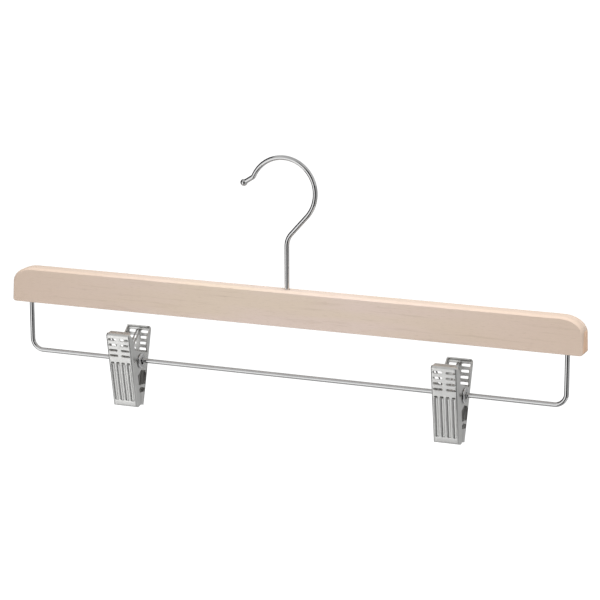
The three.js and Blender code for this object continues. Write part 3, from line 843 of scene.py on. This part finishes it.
def jaw_places(s, pivot):
    """Heights, depths and radii of an upright jaw, whose plate is square to Y before it is tilted."""
    tilt = math.atan2(s.handle_spread - s.lip_spread, s.handle_rise + s.lip_drop)
    face_at_axis = s.lip_spread + s.lip_drop * math.tan(tilt)
    sunk = face_at_axis * math.sin(tilt)
    face = -face_at_axis * math.cos(tilt)
    hole = pivot.bore / 2 + pivot.wall + s.gap
    half = s.width / 2
    return SimpleNamespace(
        tilt=tilt,
        face=face,
        top=s.handle_rise / math.cos(tilt) + sunk,
        bottom=-s.lip_drop / math.cos(tilt) + sunk,
        hole=hole,
        ear=hole + s.ear_rim,
        half=half,
        inner_ear=half - 2 * s.sheet - s.gap,
        step=face + s.joggle_depth - s.joggle_length,
    )


def edges_between(bm, one, other):
    """Edges between a face that looks along one axis and a face that looks a little along another."""
    bm.normal_update()
    found = []
    for edge in bm.edges:
        a, b = (f.normal for f in edge.link_faces)
        if any(n.dot(one) > ALONG and m.dot(other) > PARTLY for n, m in ((a, b), (b, a))):
            found.append(edge)
    return found


def round_edges(bm, edges, radius, segments):
    """Rounds some edges of bm to a radius."""
    bmesh.ops.bevel(
        bm, geom=edges, offset=radius, affect="EDGES", segments=segments, profile=0.5, material=-1
    )


def tray(s, p):
    """The pressed sheet: a plate with all its edges turned in, and round bends and corners."""
    depth = p.ear - p.face + s.sheet
    shells = []
    for inset, radius, past in ((0, s.bend, 0), (s.sheet, s.bend - s.sheet, s.sheet)):
        low = (-p.half + inset, p.face + inset, p.bottom + inset)
        high = (p.half - inset, p.face + depth + past, p.top - inset)
        bm = block(low, high)
        round_edges(bm, edges_between(bm, -Y, Z), s.handle_roll - inset, ROLL_SEGMENTS)
        rim = edges_between(bm, -Y, -Z)
        for side in (-X, X):
            rim += edges_between(bm, side, Z - Y)
        round_edges(bm, rim, radius, BEND_SEGMENTS)
        shells.append(bm)
    return combine(*shells, "DIFFERENCE")


def ear_tangent(p, y, z, side):
    """Angle at which a line from (y, z) touches the ear's circle, on one side or the other."""
    return math.atan2(z, y) + side * math.acos(p.ear / math.hypot(y, z))


def side_outline(s, p, is_front):
    """A jaw's side view, pushed out over its width: lip, tooth, narrow flange, ear or step, and handle."""
    past = s.sheet
    start = -p.half - past

    def at(y, z):
        return start, y, z

    def meeting(z):
        return at(z * math.tan(p.tilt) - s.gap / 2 / math.cos(p.tilt), z)

    lip_top = p.bottom + s.lip_block
    tooth_low = p.bottom + s.tooth_place
    tooth_high = tooth_low + s.tooth_height
    strip = p.face + (s.front_strip if is_front else s.rear_strip)
    pen = Pen(at(p.face - past, p.bottom - past))
    pen.line(
        meeting(p.bottom - past),
        meeting(lip_top),
        at(strip, lip_top + s.sheet),
        at(strip, tooth_low - s.sheet / 2),
        meeting(tooth_low),
        meeting(tooth_high),
        at(strip, tooth_high + s.sheet),
        at(strip, -s.ear_foot),
    )
    if is_front:
        shoulder = p.face + s.shoulder_depth
        low = ear_tangent(p, strip, -s.ear_foot, 1)
        high = ear_tangent(p, shoulder, s.shoulder_rise, -1)
        pen.line(at(p.ear * math.cos(low), p.ear * math.sin(low)))
        pen.arc(at(0, 0), X, math.degrees((high - low) % FULL_TURN))
        pen.line(at(shoulder, s.shoulder_rise))
    else:
        pen.line(at(p.step, -s.joggle_half_height - s.sheet), at(p.step, s.joggle_half_height))
    pen.line(
        at(p.face + s.handle_flange, s.shoulder_rise),
        at(p.face + s.handle_flange, p.top - s.handle_flange_drop),
        at(p.face + s.handle_roll, p.top - s.flange_top_drop),
        at(p.face + s.handle_lip, p.top - s.flange_top_drop),
        at(p.face + s.handle_lip, p.top + past),
        at(p.face - past, p.top + past),
    )
    return fill_and_extrude(pen.bm, X * (s.width + 2 * past))


def inner_ears(s, p):
    """The rear jaw's ears, bent from the flanges in a step so that they lie inside the front jaw's ears."""
    ears = []
    outer = p.inner_ear + s.sheet
    height = p.ear + s.sheet
    for side in (-1, 1):
        pen = Pen((side * p.half, p.step - s.sheet, -height))
        for x, y in ((p.half, p.step), (outer, p.face + s.joggle_depth), (outer, height)):
            pen.line((side * x, y, -height))
        bm = pen.bm
        raised = bmesh.ops.extrude_edge_only(bm, edges=bm.edges[:])["geom"]
        bmesh.ops.translate(bm, verts=verts_in(raised), vec=Z * (2 * height))
        bm.normal_update()
        inward = [f for f in bm.faces if f.normal.dot(X * side) < 0]
        bmesh.ops.reverse_faces(bm, faces=inward)
        bmesh.ops.solidify(bm, geom=bm.faces[:], thickness=s.sheet)
        ears.append(outward(bm))
    start = -p.half - s.sheet
    pen = Pen((start, p.step - s.sheet, -s.joggle_half_height))
    pen.line((start, 0, -p.ear))
    pen.arc((start, 0, 0), X, 180)
    pen.line((start, p.step - s.sheet, s.joggle_half_height))
    shape = fill_and_extrude(pen.bm, X * (s.width + 2 * s.sheet))
    return combine(together(ears), shape, "INTERSECT")


def groove_round(s, p):
    """Radius of the grooves' round section, depth of its axis, and height of the lower end's centre."""
    radius = (s.groove_width ** 2 / 4 + s.groove_depth ** 2) / (2 * s.groove_depth)
    return radius, p.face + s.groove_depth - radius, p.bottom + s.groove_bottom + radius


def groove_back(s, p, x):
    """The round-ended bar that the sheet forms behind a groove."""
    radius, axis_y, end_z = groove_round(s, p)
    pen = Pen((0, 0, end_z - radius - s.sheet))
    pen.arc((0, 0, end_z), Y, -90)
    pen.line((radius + s.sheet, 0, s.groove_top), (0, 0, s.groove_top))
    bm = turned(pen.bm, Z)
    bmesh.ops.translate(bm, verts=bm.verts[:], vec=(x, axis_y, 0))
    return bm


def groove_trough(s, p, x):
    """What a groove takes from the plate's face: a trough with soft shoulders and a round lower end."""
    radius, axis_y, end_z = groove_round(s, p)
    soft = s.groove_shoulder
    away = math.sqrt((radius + soft) ** 2 - (p.face + soft - axis_y) ** 2)
    lean = math.degrees(math.atan2(away, p.face + soft - axis_y))
    pen = Pen((0, p.face + s.groove_depth, 0))
    pen.arc((0, axis_y, 0), Z, -lean)
    pen.arc((away, p.face + soft, 0), Z, lean)
    pen.line((away, p.face - s.sheet, 0), (0, p.face - s.sheet, 0))
    bm = pen.bm
    sweep_round(bm, (0, 0, 0), Y, math.pi, ROUND_SEGMENTS // 2)
    weld(bm)
    raised = bmesh.ops.extrude_edge_only(bm, edges=[e for e in bm.edges if e.is_boundary])["geom"]
    bmesh.ops.translate(bm, verts=verts_in(raised), vec=Z * (s.groove_top - end_z))
    bmesh.ops.contextual_create(bm, geom=[e for e in bm.edges if e.is_boundary])
    bmesh.ops.translate(bm, verts=bm.verts[:], vec=(x, 0, end_z))
    return outward(bm)


def groove_places(s):
    """Where the grooves lie across a jaw."""
    return [(i - (s.grooves - 1) / 2) * s.groove_pitch for i in range(s.grooves)]


def pressed_grooves(s, p, jaw):
    """Presses the grooves into a plate: the sheet stands out behind each of them."""
    places = groove_places(s)
    backs = together([groove_back(s, p, x) for x in places])
    # The backs reach a tenth into the sheet, so that the two join
    low = (-p.half, p.face + 0.9 * s.sheet, p.bottom)
    high = (p.half, p.face + s.groove_width + s.sheet, p.top)
    jaw = combine(jaw, combine(backs, block(low, high), "INTERSECT"), "UNION")
    return combine(jaw, together([groove_trough(s, p, x) for x in places]), "DIFFERENCE")


def plate_holes(s, p, is_front):
    """Cutters for the slots, the holes above the grooves, the handle's corners, the pivot and the slit."""
    # Cutters for the plate start before its face and end past the backs of the grooves
    before = p.face - s.sheet
    through = Y * (4 * s.sheet)
    slot = p.half - s.slot_side - s.slot_strip / 2
    cutters = []
    for row in range(s.slot_rows):
        for side in (-1, 1):
            x = side * (s.slot_strip + slot) / 2
            centre = Vector((x, before, p.top - s.slot_top - row * s.slot_pitch))
            cutters.append(rounded_slot(centre, X, Z, (slot, s.slot_height), through))
    for x in groove_places(s):
        centre = Vector((x, before, s.groove_top + s.piercing_height / 2))
        cutters.append(rounded_slot(centre, X, Z, (s.piercing_length, s.piercing_height), through))
    for side in (-1, 1):
        inner = side * (p.half - s.bend)
        outer = side * (p.half + s.bend)
        low = (min(inner, outer), p.face + s.handle_roll, p.top - s.flange_top_drop)
        high = (max(inner, outer), p.face + s.handle_lip + s.sheet, p.top + s.sheet)
        cutters.append(block(low, high))
    cutters.append(rod(p.hole, X * -s.width, X * s.width))
    if is_front:
        centre = Vector((-s.width, p.face + s.slit_depth, s.slit_rise))
        cutters.append(rounded_slot(centre, Y, Z, (s.slit_length, s.slit_width), X * (2 * s.width)))
    return together(cutters)


def split_through(bm, point, normal):
    """Splits the faces of bm along a plane, so that a hole cut there later lies between two faces."""
    geom = bm.verts[:] + bm.edges[:] + bm.faces[:]
    bmesh.ops.bisect_plane(bm, geom=geom, plane_co=point, plane_no=normal, dist=MERGE_DISTANCE)


def pressed_jaw(s, pivot, is_front):
    """One jaw, upright round the eyelet's axis."""
    p = jaw_places(s, pivot)
    jaw = combine(tray(s, p), side_outline(s, p, is_front), "INTERSECT")
    if not is_front:
        jaw = combine(jaw, inner_ears(s, p), "UNION")
    for x in groove_places(s):
        split_through(jaw, X * x, X)
    split_through(jaw, (0, 0, 0), Z)
    split_through(jaw, Z * s.slit_rise, Z)
    jaw = pressed_grooves(s, p, jaw)
    jaw = combine(jaw, plate_holes(s, p, is_front), "DIFFERENCE")
    weld(jaw, WELD_DISTANCE)
    return jaw, p.tilt


class HANGER_OT_clip_jaws(bpy.types.Operator):
    """Presses the front and rear jaws of both clips from sheet steel"""

    bl_idname = "hanger.clip_jaws"
    bl_label = "Clip jaws"

    def execute(self, context):
        s = in_mm(context.scene.hanger_jaws)
        pivot = in_mm(context.scene.hanger_pivots)
        satin = finish_of(satin_plated_sheet, context)
        for side, half_turn in (("front", 0), ("rear", math.pi)):
            jaw, tilt = pressed_jaw(s, pivot, side == "front")
            for clip in CLIPS:
                hung = clip_place(clip, s) @ Matrix.Rotation(half_turn, 4, "Z")
                place = hung @ Matrix.Rotation(tilt, 4, "X")
                name = f"{clip}_{side}_plate"
                piece = add_piece(name, jaw.copy(), place, satin, f"{clip}_{side}_jaw")
                edges = piece.modifiers.new("cut_edges", "BEVEL")
                edges.width = s.burr * MM
                edges.segments = CUT_EDGE_SEGMENTS
                edges.limit_method = "ANGLE"
                edges.angle_limit = math.radians(CUT_EDGE_DEG)
                edges.use_clamp_overlap = False
                edges.harden_normals = True
                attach(piece, f"{clip}_{side}")
            jaw.free()
        return {"FINISHED"}


def rolled_eyelet(s, pivot):
    """The eyelet: a tube with a rolled, half-round head at each end."""
    bore = pivot.bore / 2
    head_low = s.width / 2 + s.gap
    crown = head_low + pivot.head_height
    crown_radius = bore + pivot.flare
    rim = pivot.head / 2 - crown_radius
    pen = Pen((0, bore, 0))
    pen.line((crown - pivot.flare, bore, 0))
    pen.arc((crown - pivot.flare, crown_radius, 0), Z, 90)
    pen.arc((crown - rim, crown_radius, 0), Z, 90)
    bm = pen.bm
    dome = [v for v in bm.verts if v.co.y > crown_radius + MERGE_DISTANCE]
    flatten = (pivot.head_height / rim, 1, 1)
    bmesh.ops.scale(bm, vec=flatten, space=Matrix.Translation((-crown, 0, 0)), verts=dome)
    pen.line((head_low, bore + pivot.wall, 0), (0, bore + pivot.wall, 0))
    bm = turned(bm, X)
    bmesh.ops.mirror(bm, geom=bm.verts[:] + bm.edges[:] + bm.faces[:], axis="X", merge_dist=MERGE_DISTANCE)
    return outward(bm)


class HANGER_OT_clip_eyelets(bpy.types.Operator):
    """Rolls the eyelets on which the jaws turn"""

    bl_idname = "hanger.clip_eyelets"
    bl_label = "Clip eyelets"

    def execute(self, context):
        s = in_mm(context.scene.hanger_jaws)
        pivot = in_mm(context.scene.hanger_pivots)
        bright = finish_of(bright_plated_wire, context)
        for clip in CLIPS:
            eyelet = rolled_eyelet(s, pivot)
            name = f"{clip}_rolled_eyelet"
            piece = add_piece(name, eyelet, clip_place(clip, s), bright, f"{clip}_eyelet")
            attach(piece, f"{clip}_slider")
        return {"FINISHED"}


def spring_half(s, pivot):
    """One half of the spring: from the front arm's tip, round the coil, to the middle of the loop."""
    p = jaw_places(s, pivot)
    wire = pivot.spring_wire
    coil = pivot.bore / 2 + pivot.wall + pivot.coil_gap + wire / 2
    coil_end = p.inner_ear - s.gap - wire / 2
    loop = pivot.loop_width / 2
    into = Vector((0, math.cos(p.tilt), math.sin(p.tilt)))
    up = Vector((0, -math.sin(p.tilt), math.cos(p.tilt)))
    arm = up * pivot.arm_rise + into * (p.face + s.sheet + pivot.arm_standoff) + X * coil_end
    reach = math.acos(coil / math.hypot(arm.y, arm.z))
    leave = reach - math.atan2(-arm.y, arm.z)
    meet = Vector((coil_end, coil * math.sin(leave), coil * math.cos(leave)))
    tip_length = pivot.arm_standoff - s.gap - wire / 2
    tip_turn = into.angle(meet - arm)
    tip_reach = pivot.tip_bend * math.tan(tip_turn / 2)
    bender = WireBender(arm - into * tip_length, into, wire, SPRING_SIDES)
    bender.run(tip_length - tip_reach)
    bender.turn(math.degrees(tip_turn), pivot.tip_bend, -X, step=COIL_STEP_DEG)
    bender.run((meet - arm).length - tip_reach)
    sweep = 360 * pivot.turns - math.degrees(2 * leave)
    bender.turn(sweep, coil, -X, advance=coil_end - loop, step=COIL_STEP_DEG)
    bender.run((meet - arm).length)
    bender.turn(90, loop, X.cross(bender.heading), step=COIL_STEP_DEG)
    return bender.finished(), coil_end, loop


class HANGER_OT_clip_springs(bpy.types.Operator):
    """Winds the torsion springs, each in two halves"""

    bl_idname = "hanger.clip_springs"
    bl_label = "Clip springs"

    def execute(self, context):
        s = in_mm(context.scene.hanger_jaws)
        pivot = in_mm(context.scene.hanger_pivots)
        plated = finish_of(plated_spring_wire, context)
        for clip in CLIPS:
            for side, word in ((-1, "left"), (1, "right")):
                half, coil_end, loop = spring_half(s, pivot)
                if side < 0:
                    bmesh.ops.scale(half, vec=(-1, 1, 1), verts=half.verts[:])
                    outward(half)
                place = clip_place(clip, s)
                name = f"{clip}_spring_{word}_coil"
                piece = add_piece(name, half, place, plated, f"{clip}_spring")
                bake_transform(piece)
        return {"FINISHED"}


# Stage


def white_to_camera(tree):
    """Share of the light paths that look at the background: straight, in metal or through glass."""
    path = add_node(tree, "ShaderNodeLightPath")
    seen = path.outputs["Is Camera Ray"]
    for ray in ("Is Glossy Ray", "Is Transmission Ray"):
        inputs = {0: seen, 1: path.outputs[ray]}
        seen = add_node(tree, "ShaderNodeMath", inputs, operation="MAXIMUM").outputs[0]
    return seen


def studio_floor(colours):
    """Matt white studio floor: white to the eye, and it keeps the shadow."""
    # Far from the lamps it needs more of a lift to stay white
    material, tree = new_material("studio_floor")
    matt = add_node(tree, "ShaderNodeBsdfDiffuse", {"Color": opaque(colours.floor)})
    place = add_node(tree, "ShaderNodeTexCoord").outputs["Object"]
    far = add_node(tree, "ShaderNodeVectorMath", {0: place}, operation="LENGTH").outputs["Value"]
    inputs = {0: white_to_camera(tree), 1: spread(tree, far, (0.3, 3), (0.5, 0.9))}
    lift = add_node(tree, "ShaderNodeMath", inputs, operation="MULTIPLY")
    glow = add_node(tree, "ShaderNodeEmission", {"Strength": lift.outputs[0]})
    both = add_node(tree, "ShaderNodeAddShader", {0: matt.outputs[0], 1: glow.outputs[0]})
    add_node(tree, "ShaderNodeOutputMaterial", {"Surface": both.outputs[0]})
    return material


def lit_felt(name, felt_colour):
    """Felt of the studio's walls, lit evenly."""
    material, tree = new_material(name)
    felt = add_node(tree, "ShaderNodeEmission", {"Color": opaque(felt_colour)})
    add_node(tree, "ShaderNodeOutputMaterial", {"Surface": felt.outputs[0]})
    return material


def add_lamp(name, place, target, size, watts):
    """A square area lamp that faces a point. Metal doesn't show it."""
    lamp = bpy.data.lights.new(name, "AREA")
    lamp.size = size
    lamp.energy = watts
    obj = new_object(name, lamp)
    obj.location = place
    obj.rotation_euler = (target - place).to_track_quat("-Z", "Y").to_euler()
    obj.visible_glossy = False


def add_floor(material, size, height):
    """A square floor at a height."""
    bm = bmesh.new()
    place = Matrix.Translation(Z * height)
    bmesh.ops.create_grid(bm, x_segments=1, y_segments=1, size=size / 2, matrix=place)
    obj = mesh_object("floor", bm)
    obj.data.materials.append(material)


def add_panel(name, material, radius, azimuths, elevations):
    """A curved felt panel round the hanger, between two azimuths and two elevations. Only metal shows it."""
    height = Z * ((CAD_BOX[0].z + CAD_BOX[1].z) / 2)
    start, end = elevations
    rise = math.radians(start)
    pen = Pen(height + radius * (math.sin(rise) * Z - math.cos(rise) * Y))
    pen.arc(height, -X, end - start)
    bm = pen.bm
    bmesh.ops.rotate(bm, matrix=Matrix.Rotation(math.radians(azimuths[0]), 3, "Z"), verts=bm.verts[:])
    turn = azimuths[1] - azimuths[0]
    sweep_round(bm, height, Z, math.radians(turn), math.ceil(turn / ARC_STEP_DEG))
    panel = mesh_object(name, bm)
    panel.data.materials.append(material)
    panel.visible_camera = False
    panel.visible_diffuse = False
    panel.visible_shadow = False


class HANGER_OT_stage(bpy.types.Operator):
    """Sets the camera, the lamps, the white floor and the studio round the hanger"""

    bl_idname = "hanger.stage"
    bl_label = "Stage"

    def execute(self, context):
        stage = context.scene.hanger_stage
        colours = context.scene.hanger_colours
        scene = context.scene
        scene.view_settings.view_transform = "Standard"
        camera = bpy.data.cameras.new("camera")
        camera.lens = stage.lens
        eye = new_object("camera", camera)
        eye.location = stage.camera_place
        eye.rotation_euler = (math.pi / 2 - stage.elevation, stage.roll, stage.azimuth)
        scene.camera = eye

        low, high = CAD_BOX
        middle = (low + high) / 2
        add_floor(studio_floor(colours), stage.floor_size, low.z - stage.floor_drop)
        # Each lamp's place from the middle of the hanger, its side and its power
        for name, offset, size, watts in (
            ("key_lamp", (0.2, -0.4, 1.35), 1.0, stage.key_level),
            ("side_lamp", (1.35, -0.75, 0.45), 0.9, stage.side_level),
            ("front_lamp", (-0.4, -1.5, 0.25), 0.9, stage.front_level),
            ("back_lamp", (0.4, 1.5, 0.0), 0.9, stage.back_level),
        ):
            add_lamp(name, middle + Vector(offset), middle, size, watts)

        # Bright metal shows a grey room with an open white front, and mats below the hanger. Black
        # curtains, a black strip and a black mat draw the dark lines along it.
        grey = lit_felt("grey_felt", colours.walls)
        pale = lit_felt("pale_felt", colours.dome)
        upper = lit_felt("ceiling_felt", colours.ceiling)
        light = lit_felt("mat_felt", colours.mat)
        black = lit_felt("black_felt", colours.curtain)
        far = stage.room_radius
        near = CURTAIN_SHARE * far
        below = MAT_SHARE * far
        add_panel("ceiling", upper, far, (0, 360), (64, 90))
        add_panel("dome", pale, far, (0, 360), (10, 64))
        add_panel("walls", grey, far, (46, 310), (-34, 10))
        add_panel("right_curtain", black, near, (-6, 46), (-34, 38))
        add_panel("left_curtain", black, near, (-135, -56), (-6, 50))
        add_panel("left_strip", black, near, (-112, -68), (-34, -6))
        add_panel("front_mat", light, below, (-62, 0), (-50, -36))
        add_panel("right_mat", black, below, (0, 40), (-50, -34))
        add_panel("rear_mat", pale, below, (40, 298), (-50, -34))
        add_panel("under_mat", grey, below, (0, 360), (-90, -50))

        world = bpy.data.worlds.new("studio")
        scene.world = world
        world.use_nodes = True
        tree = world.node_tree
        tree.nodes.clear()
        level = spread(tree, white_to_camera(tree), (0, 1), (stage.sky_level, 1))
        sky = add_node(tree, "ShaderNodeBackground", {"Color": (1, 1, 1, 1), "Strength": level})
        add_node(tree, "ShaderNodeOutputWorld", {"Surface": sky.outputs[0]})
        return {"FINISHED"}


class HANGER_PT_pieces(bpy.types.Panel):
    """Lists the hanger's pieces and its stage"""

    bl_idname = "HANGER_PT_pieces"
    bl_label = "Skirt hanger"
    bl_space_type = "VIEW_3D"
    bl_region_type = "UI"
    bl_category = "Hanger"

    def draw(self, context):
        for operator in OPERATORS:
            self.layout.operator(operator.bl_idname)
        for name in PROPERTY_GROUPS:
            group = getattr(context.scene, name)
            box = self.layout.box()
            for key in group.__annotations__:
                box.prop(group, key)


OPERATORS = (
    HANGER_OT_stage,
    HANGER_OT_wooden_bar,
    HANGER_OT_swivel_hook,
    HANGER_OT_trouser_wire,
    HANGER_OT_clip_jaws,
    HANGER_OT_clip_eyelets,
    HANGER_OT_clip_springs,
)
PROPERTY_GROUPS = {
    "hanger_bar": HangerBarSizes,
    "hanger_wires": HangerWireSizes,
    "hanger_jaws": HangerJawSizes,
    "hanger_pivots": HangerPivotSizes,
    "hanger_colours": HangerColours,
    "hanger_stage": HangerStage,
}


def register():
    for cls in (*PROPERTY_GROUPS.values(), *OPERATORS, HANGER_PT_pieces):
        bpy.utils.register_class(cls)
    for name, cls in PROPERTY_GROUPS.items():
        setattr(bpy.types.Scene, name, bpy.props.PointerProperty(type=cls))


def unregister():
    for name in PROPERTY_GROUPS:
        delattr(bpy.types.Scene, name)
    for cls in reversed((*PROPERTY_GROUPS.values(), *OPERATORS, HANGER_PT_pieces)):
        bpy.utils.unregister_class(cls)


def main():
    register()
    bpy.ops.hanger.stage()
    bpy.ops.hanger.wooden_bar()
    bpy.ops.hanger.swivel_hook()
    bpy.ops.hanger.trouser_wire()
    bpy.ops.hanger.clip_jaws()
    bpy.ops.hanger.clip_eyelets()
    bpy.ops.hanger.clip_springs()


if __name__ == "__main__":
    main()
